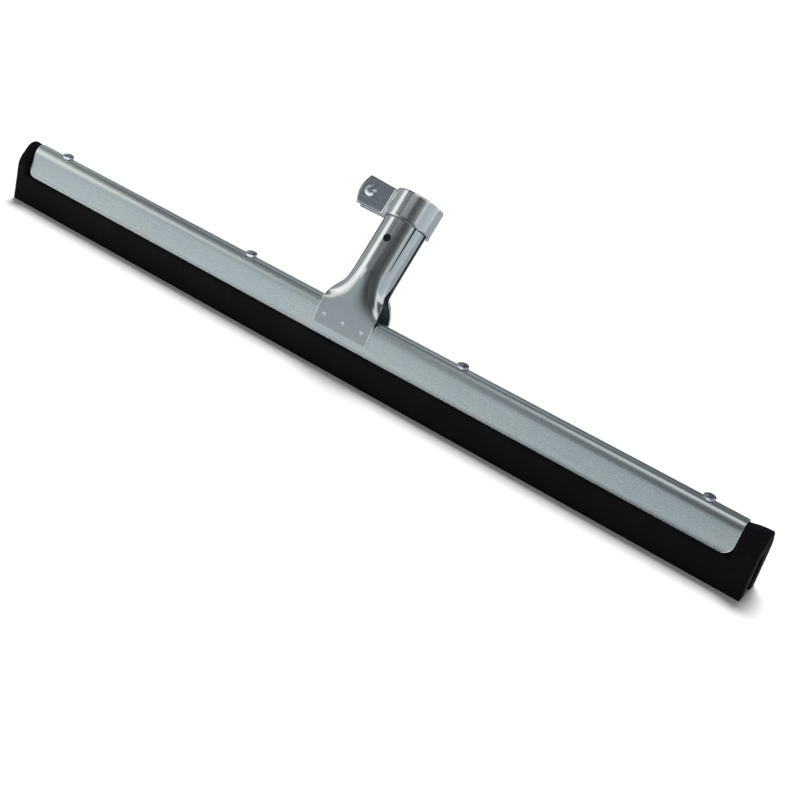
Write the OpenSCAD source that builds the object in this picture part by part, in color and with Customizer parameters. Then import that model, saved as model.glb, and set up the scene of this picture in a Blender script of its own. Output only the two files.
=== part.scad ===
// Floor squeegee head: a roof-shaped sheet-steel channel grips a double-lip rubber blade,
// and two pressed half-shells welded to the channel make a tilted handle socket with a strap clamp.
// X runs along the blade, Y points to the back, Z points up from the floor under the lips.

/* [Channel] */
// Thickness of the channel's sheet
channel_sheet = 1; // [0.6:0.1:1.6]
// Outer radius of the rounded ridge
ridge_radius = 6; // [5.5:0.1:7]
// Lean of each side away from upright, in degrees
side_lean = 16; // [10:0.5:19]
// Height of a flat side, measured along the sheet
side_height = 16.2; // [15:0.1:24]
// Radius of the lower end corners
corner_radius = 6.5; // [2:0.1:9]

/* [Blade] */
// Length of the rubber blade
blade_length = 550; // [350:1:1000]
// Length of rubber standing free at an end of the channel, with the blade centred on it
free_end = 11; // [7:0.5:20]
// Thickness of the blade across both lips
blade_thickness = 24; // [22:0.5:30]
// Thickness of one lip
lip_thickness = 8; // [5:0.1:9]
// Depth of rubber below the channel
blade_drop = 20; // [10:0.5:40]
// How far the blade stands to the right of the channel's middle
blade_offset = 3; // [0:0.5:5]
// Radius of the swell where the blade leaves the channel
swell_radius = 2.5; // [1:0.1:4]
// Thickness of the blade's free ends, where no channel squeezes them
end_thickness = 23.6; // [21.5:0.1:28]
// Radius of the free ends' rounded back
end_radius = 7; // [5:0.1:8]
// Lean of the free ends' shoulders away from upright, in degrees
end_lean = 38; // [25:1:45]
// How far the free ends' back lies below the channel's crest
end_sink = 1.5; // [0.5:0.1:4]

/* [Rivets] */
// Distance from an end of the channel to the first rivet
rivet_edge = 24; // [12:0.5:40]
// Diameter of a rivet's shank
rivet_shank = 4; // [3:0.1:5]
// Diameter of a rivet's head
rivet_head = 7.2; // [6:0.1:9]
// Height of a rivet's head
rivet_head_height = 2.8; // [1.5:0.1:3.5]

/* [Retaining strip] */
// Thickness of the strip inside the blade
strip_thickness = 1.5; // [1:0.1:3]
// Side clearance between the strip and the lips
strip_clearance = 0.4; // [0.1:0.1:1]
// Height of the strip's top face above the channel's lower edge
strip_rise = 5; // [2:0.5:7]

/* [Handle socket] */
// Inner diameter of the socket
socket_bore = 26; // [22:0.1:28]
// Thickness of a socket shell
socket_sheet = 1.5; // [1:0.1:2]
// Lean of the socket towards the back, in degrees
socket_tilt = 35; // [20:1:40]
// Distance from the ridge's centre to the socket's mouth
socket_reach = 82; // [70:1:120]
// Distance from the ridge's centre to where the round socket starts
flare_start = 20; // [18:0.5:26]
// Gap between the front and rear shells
seam_gap = 1.6; // [0.5:0.1:3]
// Width of the front plate welded to the channel
front_plate_width = 39.5; // [34:0.5:60]
// Width of the rear plate welded to the channel
rear_plate_width = 44; // [34:0.5:60]
// Distance from the channel's lower edge to the front plate's lower edge
front_plate_low = 6; // [2:0.5:8]
// Distance from the channel's lower edge to the front plate's upper edge
front_plate_high = 19; // [15:0.5:20]
// Distance from the channel's lower edge to the rear plate's lower edge
rear_plate_low = 1; // [0.5:0.1:1.5]
// Distance from the channel's lower edge to the rear plate's upper edge
rear_plate_high = 9; // [8:0.5:11]
// Distance from the front plate's lower edge to its row of weld spots
weld_rise = 5.7; // [3:0.1:8]
// Diameter of the fixing hole in the front shell
fixing_hole = 5; // [3:0.1:7]
// Distance from the socket's mouth to the fixing hole
fixing_hole_depth = 31; // [24:0.5:45]
// Width of a slit at the socket's mouth
slit_width = 2.2; // [1:0.1:4]
// Length of a slit from the socket's mouth
slit_length = 48; // [25:1:50]
// Angle of each slit from the front of the socket, in degrees
slit_angle = 47; // [35:1:60]
// Distance between weld spots
weld_pitch = 14; // [8:0.5:16]
// Diameter of a weld spot
weld_spot = 3.6; // [2:0.1:5]

/* [Clamp] */
// Width of the clamp's strap
strap_width = 17; // [12:0.5:22]
// Thickness of the clamp's strap
strap_thickness = 1.8; // [1:0.1:2]
// Distance from the socket's mouth to the strap
strap_inset = 0.5; // [0:0.1:3]
// Distance from the socket's axis to the end of the ears
ear_reach = 38.1; // [35:0.1:45]
// Open gap between the two ears
ear_gap = 4.8; // [3:0.1:8]
// How much taller the ears are at their end than at the strap
ear_spread = 3.4; // [0:0.1:4]
// Radius of the ears' corners
ear_corner = 6; // [2:0.1:6]
// Radius of the bend from strap to ear
ear_bend = 3; // [1:0.1:4]
// Distance from the ears' end to the screw
screw_setback = 6.6; // [4.5:0.1:9]
// Diameter of the clamp screw's thread
screw_thread = 4; // [3:0.1:5]
// Length of the clamp screw under its head
screw_length = 20; // [18:0.5:30]
// Diameter of the clamp screw's head
screw_head = 7.6; // [6.5:0.1:9]
// Height of the clamp screw's head
screw_head_height = 2.8; // [1.8:0.1:4]
// Width of the nut across its flats
nut_flats = 7; // [6.5:0.1:9]
// Height of the nut
nut_height = 3.2; // [2:0.1:5]

/* [Fits] */
// Radial running clearance of turning and sliding pieces
running_clearance = 0.05; // [0.02:0.01:0.1]
// Clearance between the rubber and the steel round it
rubber_clearance = 0.05; // [0.02:0.01:0.2]

/* [Hidden] */
$fn = 96;

rivet_count = 4;
overcut = 1;

// The channel and its rivets follow the blade's length
channel_length = blade_length - 2 * free_end;
rivet_pitch = (channel_length - 2 * rivet_edge) / (rivet_count - 1);

// The ridge's centre, its crest and the half width at the channel's lower edge
ridge_z = blade_drop + side_height * cos(side_lean) - ridge_radius * sin(side_lean);
crest_z = ridge_z + ridge_radius;
foot_half = ridge_radius * cos(side_lean) + side_height * sin(side_lean);
channel_x = -blade_offset;

// The strap's place along the socket, and the clamp's radii
socket_outer = socket_bore / 2 + socket_sheet;
strap_top = socket_reach - strap_inset;
strap_middle = strap_top - strap_width / 2;
strap_inner = socket_outer + running_clearance;
strap_outer = strap_inner + strap_thickness;
ear_outer = ear_gap / 2 + strap_thickness;
screw_x = -(ear_reach - screw_setback);
screw_rise = ear_spread / 2;

// The object's box is centred on the origin in Y, between the front lip and the strap's rear rim
rear_most = max(strap_top * sin(socket_tilt) + strap_outer * cos(socket_tilt),
                (strap_middle + screw_rise + screw_thread / 2) * sin(socket_tilt)
                + (screw_length - ear_outer) * cos(socket_tilt));
frame_y = (rear_most - blade_thickness / 2) / 2;

module placed() translate([0, -frame_y, 0]) children();

// The socket's own axes: Z along its bore towards the mouth, -Y to the front
module socket_axes() placed() translate([channel_x, 0, ridge_z]) rotate([-socket_tilt, 0, 0]) children();

// A profile in Y and Z, drawn out along X about a middle point
module along_x(length, middle) translate([middle, 0, 0]) rotate([90, 0, 90])
    linear_extrude(height = length, center = true) children();

function side_half(radius, z) =
    radius * cos(side_lean) + (ridge_z + radius * sin(side_lean) - z) * tan(side_lean);

// Solid roof section: a round ridge with two leaning sides down to a height
module roof_section(radius, low_z) {
    top_z = ridge_z + radius * sin(side_lean);
    top_half = radius * cos(side_lean);
    low_half = side_half(radius, low_z);
    translate([0, ridge_z]) circle(r = radius);
    polygon([[-low_half, low_z], [low_half, low_z], [top_half, top_z], [-top_half, top_z]]);
}

function rivet_x(i) = channel_x + (i - (rivet_count + 1) / 2) * rivet_pitch;

// Upright holes at the rivets
module rivet_holes() {
    for (i = [1 : rivet_count])
        translate([rivet_x(i), 0, 0])
            cylinder(d = rivet_shank + 2 * running_clearance, h = crest_z + overcut);
}

// What is cut off a square lower corner to round it, seen from the front
module corner_waste() {
    rotate([90, 0, 0]) linear_extrude(height = 2 * blade_thickness, center = true) difference() {
        translate([-overcut, -overcut]) square(corner_radius + overcut);
        translate([corner_radius, corner_radius]) circle(r = corner_radius);
    }
}

module channel() {
    color([0.66, 0.69, 0.69]) placed() difference() {
        along_x(channel_length, channel_x) difference() {
            roof_section(ridge_radius, blade_drop);
            roof_section(ridge_radius - channel_sheet, blade_drop - overcut);
        }
        translate([channel_x - channel_length / 2, 0, blade_drop]) corner_waste();
        translate([channel_x + channel_length / 2, 0, blade_drop]) mirror([1, 0, 0]) corner_waste();
        rivet_holes();
    }
}

// The lips: two strips below the channel with a rounded swell at the top
module lips_section() {
    half = blade_thickness / 2;
    swell_z = blade_drop - swell_radius - rubber_clearance;
    translate([-half, 0]) square([blade_thickness, swell_z]);
    for (side = [-1, 1])
        translate([side * (half - swell_radius), swell_z]) circle(r = swell_radius);
    translate([-half + swell_radius, 0])
        square([blade_thickness - 2 * swell_radius, swell_z + swell_radius]);
}

// The space between the lips, up to the strip's top face
module lip_gap() {
    gap = blade_thickness - 2 * lip_thickness;
    translate([-gap / 2, -overcut]) square([gap, blade_drop + strip_rise + overcut]);
}

// The blade's free end, where nothing squeezes it: upright faces, leaning shoulders and a round back
module free_section() {
    half = end_thickness / 2;
    back_z = crest_z - end_sink - end_radius;
    top_half = end_radius * cos(end_lean);
    top_z = back_z + end_radius * sin(end_lean);
    shoulder_z = top_z - (half - top_half) / tan(end_lean);
    low_z = blade_drop - 2 * swell_radius;
    translate([0, back_z]) circle(r = end_radius);
    polygon([[-half, low_z], [half, low_z], [half, shoulder_z], [top_half, top_z],
             [-top_half, top_z], [-half, shoulder_z]]);
}

module rubber_blade() {
    color([0.07, 0.07, 0.08]) placed() difference() {
        union() {
            along_x(channel_length, channel_x)
                roof_section(ridge_radius - channel_sheet - rubber_clearance, blade_drop - swell_radius);
            along_x(blade_length, 0) lips_section();
            for (side = [-1, 1]) {
                channel_end = channel_x + side * channel_length / 2;
                stub = abs(side * blade_length / 2 - channel_end);
                along_x(stub, channel_end + side * stub / 2) free_section();
            }
        }
        along_x(blade_length + 2 * overcut, 0) lip_gap();
        rivet_holes();
    }
}

module retaining_strip() {
    width = blade_thickness - 2 * lip_thickness - 2 * strip_clearance;
    length = channel_length - 2 * corner_radius;
    color([0.62, 0.64, 0.64]) placed() difference() {
        translate([channel_x - length / 2, -width / 2, blade_drop + strip_rise - strip_thickness])
            cube([length, width, strip_thickness]);
        rivet_holes();
    }
}

// A low round head standing on its flat face
module domed_head(diameter, height) {
    rim = height / 3;
    rise = height - rim;
    ball = (diameter * diameter / 4 + rise * rise) / (2 * rise);
    cylinder(d = diameter, h = rim);
    translate([0, 0, rim]) intersection() {
        cylinder(d = diameter, h = rise);
        translate([0, 0, rise - ball]) sphere(r = ball);
    }
}

// A rivet clamps the channel, the blade and the strip together
module rivet(i) {
    strip_low = blade_drop + strip_rise - strip_thickness;
    shop_head = rivet_shank * 1.5;
    shop_height = rivet_shank * 0.5;
    color([0.74, 0.76, 0.77]) placed() translate([rivet_x(i), 0, 0]) {
        translate([0, 0, crest_z]) domed_head(rivet_head, rivet_head_height);
        translate([0, 0, strip_low - overcut])
            cylinder(d = rivet_shank, h = crest_z - strip_low + 2 * overcut);
        translate([0, 0, strip_low - shop_height]) cylinder(d = shop_head, h = shop_height);
    }
}

// The flare that spreads from the round socket to the flat plate. facing is 1 in front, -1 behind.
// It is a grid of smooth curves: across counts points over the sheet, down counts steps along it.
flare_across = 20;
flare_down = 10;
flare_spread = 85;

// How deep the flare runs into the tube and plate, and how much its drawn sheet is thinned on each face
bond_depth = 0.1;
bond_margin = 0.2;

function smooth_curve(a, b, leave, arrive, t) =
    (2 * pow(t, 3) - 3 * pow(t, 2) + 1) * a + (pow(t, 3) - 2 * pow(t, 2) + t) * leave
    + (3 * pow(t, 2) - 2 * pow(t, 3)) * b + (pow(t, 3) - pow(t, 2)) * arrive;

function socket_point(facing, angle, radius, reach) = [
    radius * sin(angle),
    reach * sin(socket_tilt) - facing * radius * cos(angle) * cos(socket_tilt),
    ridge_z + reach * cos(socket_tilt) + facing * radius * cos(angle) * sin(socket_tilt)];

function side_point(facing, x, up, out) = [
    x,
    facing * (-foot_half + up * sin(side_lean) - out * cos(side_lean)),
    blade_drop + up * cos(side_lean) + out * sin(side_lean)];

// Across the blade the flare opens early, so its shoulders stand out close under the round socket
function flare_point(facing, u, t, out, plate_width, plate_top, pull, haste) =
    let (start = socket_point(facing, u * flare_spread, socket_bore / 2 + out, flare_start + bond_depth),
         finish = side_point(facing, u * (plate_width / 2 - bond_margin), plate_top - bond_depth, out),
         middle = smooth_curve(start, finish,
                               -pull * [0, sin(socket_tilt), cos(socket_tilt)],
                               -pull * [0, facing * sin(side_lean), cos(side_lean)], t))
    [start[0] + (finish[0] - start[0]) * (1 - pow(1 - t, haste)), middle[1], middle[2]];

module flare(facing, plate_width, plate_top, pull, haste) {
    row = flare_across + 1;
    layer = row * (flare_down + 1);
    points = [
        for (out = [bond_margin, socket_sheet - bond_margin])
            for (j = [0 : flare_down])
                for (i = [0 : flare_across])
                    flare_point(facing, 2 * i / flare_across - 1, j / flare_down, out,
                                plate_width, plate_top, pull, haste)];
    sheets = [
        for (side = [0, 1])
            for (j = [0 : flare_down - 1])
                for (i = [0 : flare_across - 1])
                    let (p = side * layer + j * row + i,
                         quad = [p, p + 1, p + row + 1, p + row])
                    each side == 1 ? [[quad[0], quad[1], quad[2]], [quad[0], quad[2], quad[3]]]
                                   : [[quad[2], quad[1], quad[0]], [quad[3], quad[2], quad[0]]]];
    edges = [
        for (i = [0 : flare_across - 1])
            for (j = [0, flare_down])
                let (p = j * row + i, quad = [p, p + 1, p + 1 + layer, p + layer])
                each j == 0 ? [[quad[0], quad[1], quad[2]], [quad[0], quad[2], quad[3]]]
                            : [[quad[2], quad[1], quad[0]], [quad[3], quad[2], quad[0]]],
        for (j = [0 : flare_down - 1])
            for (i = [0, flare_across])
                let (p = j * row + i, quad = [p, p + row, p + row + layer, p + layer])
                each i == flare_across ? [[quad[0], quad[1], quad[2]], [quad[0], quad[2], quad[3]]]
                                       : [[quad[2], quad[1], quad[0]], [quad[3], quad[2], quad[0]]]];
    skin = concat(sheets, edges);
    polyhedron(points, facing > 0 ? skin : [for (f = skin) [f[2], f[1], f[0]]]);
}

// A plate welded to one side of the channel, from one height to another along the sheet,
// with a row of weld spots at a height above its lower edge
module weld_plate(facing, plate_width, low, high, spots) {
    lean = facing * side_lean;
    translate([channel_x, -facing * foot_half, blade_drop]) rotate([-lean, 0, 0])
        translate([-plate_width / 2, facing > 0 ? -socket_sheet : 0, low]) difference() {
            cube([plate_width, socket_sheet, high - low]);
            for (i = [-1 : 1])
                translate([plate_width / 2 + i * weld_pitch, facing > 0 ? 0 : socket_sheet, spots])
                    rotate([90, 0, 0]) cylinder(d = weld_spot, h = socket_sheet / 2, center = true);
        }
}

// Half of the round socket, on the front (facing 1) or the back (facing -1)
module half_tube(facing) {
    length = socket_reach - flare_start;
    block = 4 * socket_outer;
    translate([0, 0, flare_start]) difference() {
        cylinder(r = socket_outer, h = length);
        translate([0, 0, -overcut]) cylinder(d = socket_bore, h = length + 2 * overcut);
        translate([-2 * socket_outer, facing > 0 ? -seam_gap / 2 : seam_gap / 2 - block, -overcut])
            cube([block, block, length + 2 * overcut]);
    }
}

// A slit that opens from a narrow tip to its full width at the socket's mouth
slit_tip = 0.6;

module mouth_slit(angle) {
    half_tip = slit_tip / 2;
    half_mouth = half_tip + (slit_width / 2 - half_tip) * (slit_length + overcut) / slit_length;
    rotate([0, 0, angle]) translate([0, 0, socket_reach]) rotate([90, 0, 0])
        linear_extrude(height = 2 * socket_outer)
            polygon([[half_tip, -slit_length], [half_mouth, overcut],
                     [-half_mouth, overcut], [-half_tip, -slit_length]]);
}

// How far each flare holds its end directions, and how early it opens across the blade
front_pull = 18;
front_haste = 2.5;
rear_pull = 12;
rear_haste = 5;

module front_socket_shell() {
    color([0.70, 0.72, 0.71]) {
        socket_axes() difference() {
            half_tube(1);
            for (side = [-1, 1]) mouth_slit(side * slit_angle);
            translate([0, 0, socket_reach - fixing_hole_depth]) rotate([90, 0, 0])
                cylinder(d = fixing_hole, h = 2 * socket_outer);
        }
        placed() weld_plate(1, front_plate_width, front_plate_low, front_plate_high, weld_rise);
        placed() translate([channel_x, 0, 0])
            flare(1, front_plate_width, front_plate_high, front_pull, front_haste);
    }
}

module rear_socket_shell() {
    color([0.68, 0.70, 0.69]) {
        socket_axes() half_tube(-1);
        placed() weld_plate(-1, rear_plate_width, rear_plate_low, rear_plate_high,
                            (rear_plate_high - rear_plate_low) / 2);
        placed() translate([channel_x, 0, 0])
            flare(-1, rear_plate_width, rear_plate_high, rear_pull, rear_haste);
    }
}

// Outline of one ear seen from the front, growing taller to its rounded end, with its screw hole
module ear_outline() {
    root_x = -(strap_inner + strap_thickness / 2);
    low = -strap_width / 2;
    high = strap_width / 2 + ear_spread;
    inner_x = -ear_reach + ear_corner;
    difference() {
        union() {
            polygon([[root_x, low], [root_x, strap_width / 2], [inner_x, high],
                     [-ear_reach, high - ear_corner], [-ear_reach, low + ear_corner], [inner_x, low]]);
            for (y = [low + ear_corner, high - ear_corner])
                translate([inner_x, y]) circle(r = ear_corner);
        }
        translate([screw_x, screw_rise]) circle(d = screw_thread + 2 * running_clearance);
    }
}

// The hollow corner where the strap bends out into an ear, seen along the socket
module bend_fill() {
    centre_y = ear_outer + ear_bend;
    centre_x = -sqrt(pow(strap_outer + ear_bend, 2) - pow(centre_y, 2));
    share = strap_outer / (strap_outer + ear_bend);
    root_x = -(strap_inner + strap_thickness / 2);
    difference() {
        polygon([[centre_x, ear_outer - strap_thickness / 2], [centre_x, centre_y],
                 [centre_x * share, centre_y * share], [root_x, ear_outer - strap_thickness / 2]]);
        translate([centre_x, centre_y]) circle(r = ear_bend);
    }
}

module clamp_band() {
    color([0.72, 0.74, 0.74]) socket_axes() translate([0, 0, strap_middle]) {
        linear_extrude(height = strap_width, center = true) {
            difference() {
                circle(r = strap_outer);
                circle(r = strap_inner);
                translate([-2 * strap_outer, -ear_gap / 2]) square([2 * strap_outer, ear_gap]);
            }
            bend_fill();
            mirror([0, 1]) bend_fill();
        }
        for (y = [-ear_gap / 2, ear_outer])
            translate([0, y, 0]) rotate([90, 0, 0]) linear_extrude(height = strap_thickness) ear_outline();
    }
}

// The screw's own axes: its head's seat on the front ear, with +Z out of the head
module screw_axes() socket_axes() translate([screw_x, -ear_outer, strap_middle + screw_rise])
    rotate([90, 0, 0]) children();

module clamp_screw() {
    recess_length = screw_head * 0.55;
    recess_width = screw_head * 0.14;
    recess_depth = screw_head_height * 0.5;
    color([0.60, 0.62, 0.63]) screw_axes() {
        difference() {
            domed_head(screw_head, screw_head_height);
            for (turn = [45, 135])
                translate([0, 0, screw_head_height - recess_depth]) rotate([0, 0, turn])
                    translate([-recess_length / 2, -recess_width / 2, 0])
                        cube([recess_length, recess_width, recess_depth + overcut]);
        }
        translate([0, 0, -screw_length])
            cylinder(d = screw_thread, h = screw_length + screw_head_height / 4);
    }
}

module clamp_nut() {
    color([0.58, 0.60, 0.61]) screw_axes()
        translate([0, 0, -2 * ear_outer - nut_height]) difference() {
            cylinder(d = nut_flats / cos(30), h = nut_height, $fn = 6);
            translate([0, 0, -overcut])
                cylinder(d = screw_thread + 2 * running_clearance, h = nut_height + 2 * overcut);
        }
}

channel();
rubber_blade();
retaining_strip();
for (i = [1 : rivet_count])
    rivet(i);
front_socket_shell();
rear_socket_shell();
clamp_band();
clamp_screw();
clamp_nut();
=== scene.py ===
"""The looks of a floor squeegee: smooth sheet steel, moulded rubber, fasteners, studio and camera."""
import logging
import math
from dataclasses import dataclass
from enum import Enum
from typing import Callable, Dict, Iterable, List, Optional, Sequence, Tuple, Union

import bmesh
import bpy
from mathutils import Matrix, Vector


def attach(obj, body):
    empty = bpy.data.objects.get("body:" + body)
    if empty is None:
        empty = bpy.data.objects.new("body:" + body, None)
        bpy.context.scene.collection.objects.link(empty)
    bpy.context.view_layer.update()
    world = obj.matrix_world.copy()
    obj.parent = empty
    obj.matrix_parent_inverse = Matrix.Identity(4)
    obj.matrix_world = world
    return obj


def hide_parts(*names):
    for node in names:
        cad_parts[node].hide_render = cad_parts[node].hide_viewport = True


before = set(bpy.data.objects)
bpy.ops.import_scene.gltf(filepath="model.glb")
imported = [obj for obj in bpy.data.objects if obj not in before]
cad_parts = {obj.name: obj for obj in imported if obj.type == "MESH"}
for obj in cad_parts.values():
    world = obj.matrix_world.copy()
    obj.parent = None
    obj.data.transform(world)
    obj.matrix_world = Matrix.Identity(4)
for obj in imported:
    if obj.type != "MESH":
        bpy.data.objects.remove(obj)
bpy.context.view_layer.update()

LOG = logging.getLogger("squeegee")
MM = 0.001
MERGE = 1e-4
FAR = 1000.0
FULL_TURN = 2 * math.pi

Colour = Tuple[float, float, float]
Triple = Tuple[float, float, float]
Pair = Tuple[float, float]
Named = Tuple[str, str]


class Body(Enum):
    """The bodies that pieces ride on."""

    HEAD = "head"
    CLAMP = "clamp"
    SCREW = "screw"
    NUT = "nut"


class Facing(Enum):
    """Which way a socket shell faces."""

    FRONT = 1
    REAR = -1


class Aim(Enum):
    """Which way a studio card looks."""

    BACK = (0.0, 1.0, 0.0)
    FRONT = (0.0, -1.0, 0.0)
    RIGHT = (1.0, 0.0, 0.0)
    LEFT = (-1.0, 0.0, 0.0)
    UP = (0.0, 0.0, 1.0)
    DOWN = (0.0, 0.0, -1.0)


def mix(a: float, b: float, share: float) -> float:
    """Goes from a to b by a share."""
    return a + (b - a) * share


def ease(share: float) -> float:
    """Softens a share of 0 to 1 at both of its ends."""
    share = min(max(share, 0.0), 1.0)
    return share * share * (3 - 2 * share)


def evenly(first: float, last: float, count: int) -> List[float]:
    """Values from the first to the last in a count of even steps."""
    return [mix(first, last, i / count) for i in range(count + 1)]


def arc(first: float, last: float, count: int) -> List[float]:
    """Angles in radians between two that are given in degrees, in a count of even steps."""
    return [math.radians(angle) for angle in evenly(first, last, count)]


def opaque(colour: Colour) -> Tuple[float, float, float, float]:
    """A colour with full alpha."""
    return (*colour, 1.0)


def put(name: str, data: bpy.types.ID) -> bpy.types.Object:
    """Puts a new object with its data into the scene."""
    made = bpy.data.objects.new(name, data)
    bpy.context.scene.collection.objects.link(made)
    return made


def put_mesh(name: str, bm: bmesh.types.BMesh) -> bpy.types.Object:
    """Puts a mesh in metres into the scene and uses it up."""
    mesh = bpy.data.meshes.new(name)
    bm.to_mesh(mesh)
    bm.free()
    return put(name, mesh)


# Shader building

NOISE_RANGE = (0.3, 0.7)
WHITE = (1.0, 1.0, 1.0)


class Wiring:
    """Places and links the nodes of one shader tree."""

    def __init__(self, tree: bpy.types.NodeTree) -> None:
        """Starts on an emptied tree.

        Args:
            tree: The tree of a material, a world or a node group.
        """
        self.tree = tree
        tree.nodes.clear()

    def node(self, kind: str, settings: Optional[Dict[str, object]] = None,
             **inputs: object) -> bpy.types.Node:
        """Adds a node.

        Args:
            kind: The node's type name, without its common start.
            settings: Values of the node's own properties.
            **inputs: Input sockets by name, with underscores for spaces: a value, or a socket to link from.

        Returns:
            The new node.
        """
        start = "Node" if kind in ("GroupInput", "GroupOutput") else "ShaderNode"
        made = self.tree.nodes.new(start + kind)
        for key, value in (settings or {}).items():
            setattr(made, key, value)
        for key, value in inputs.items():
            self.feed(made.inputs[key.replace("_", " ")], value)
        return made

    def feed(self, socket: bpy.types.NodeSocket, value: object) -> None:
        """Sets a socket to a value, or links another socket to it."""
        if isinstance(value, bpy.types.NodeSocket):
            self.tree.links.new(value, socket)
        else:
            socket.default_value = value

    def math(self, operation: str, first: object, second: object = 0.0) -> bpy.types.NodeSocket:
        """Adds a Math node and returns its output."""
        made = self.node("Math", {"operation": operation})
        self.feed(made.inputs[0], first)
        self.feed(made.inputs[1], second)
        return made.outputs[0]

    def vectors(self, operation: str, *given: object) -> bpy.types.Node:
        """Adds a Vector Math node."""
        made = self.node("VectorMath", {"operation": operation})
        for socket, value in zip(made.inputs, given):
            self.feed(socket, value)
        return made

    def blend(self, mode: str, factor: object, first: object, second: object) -> bpy.types.NodeSocket:
        """Adds a colour Mix node.

        Args:
            mode: The blend type.
            factor: Share of the second colour.
            first: The colour below.
            second: The colour on top.

        Returns:
            The mixed colour.
        """
        made = self.node("Mix", {"data_type": "RGBA", "blend_type": mode})
        self.feed(made.inputs[0], factor)
        self.feed(made.inputs[6], first)
        self.feed(made.inputs[7], second)
        return made.outputs[2]

    def dim(self, colour: object, level: object) -> bpy.types.NodeSocket:
        """Multiplies a colour by a level."""
        grey = self.node("CombineColor", Red=level, Green=level, Blue=level).outputs[0]
        return self.blend("MULTIPLY", 1.0, colour, grey)

    def noise(self, place: object, scale: float, detail: float,
              roughness: float = 0.5) -> bpy.types.NodeSocket:
        """Adds a Noise texture and returns its value."""
        made = self.node("TexNoise", Vector=place, Scale=scale, Detail=detail, Roughness=roughness)
        return made.outputs[0]

    def spread(self, value: object, given: Pair, wanted: Pair) -> bpy.types.NodeSocket:
        """Maps a given range of values to the one that is wanted, softly and within its limits."""
        made = self.node("MapRange", {"interpolation_type": "SMOOTHSTEP"}, Value=value, From_Min=given[0],
                         From_Max=given[1], To_Min=wanted[0], To_Max=wanted[1])
        return made.outputs[0]

    def vary(self, noise: object, low: float, high: float) -> bpy.types.NodeSocket:
        """Maps the usual range of a noise to two limits."""
        return self.spread(noise, NOISE_RANGE, (low, high))

    def seen(self) -> bpy.types.NodeSocket:
        """1 for rays that the camera sees, also in reflections, and 0 for rays that only gather light."""
        path = self.node("LightPath").outputs
        mirrored = self.math("MAXIMUM", path["Is Glossy Ray"], path["Is Transmission Ray"])
        return self.math("MAXIMUM", path["Is Camera Ray"], mirrored)


def blank(name: str) -> Tuple[bpy.types.Material, Wiring]:
    """A new material and the wiring of its emptied tree."""
    made = bpy.data.materials.new(name)
    made.use_nodes = True
    return made, Wiring(made.node_tree)


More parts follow.
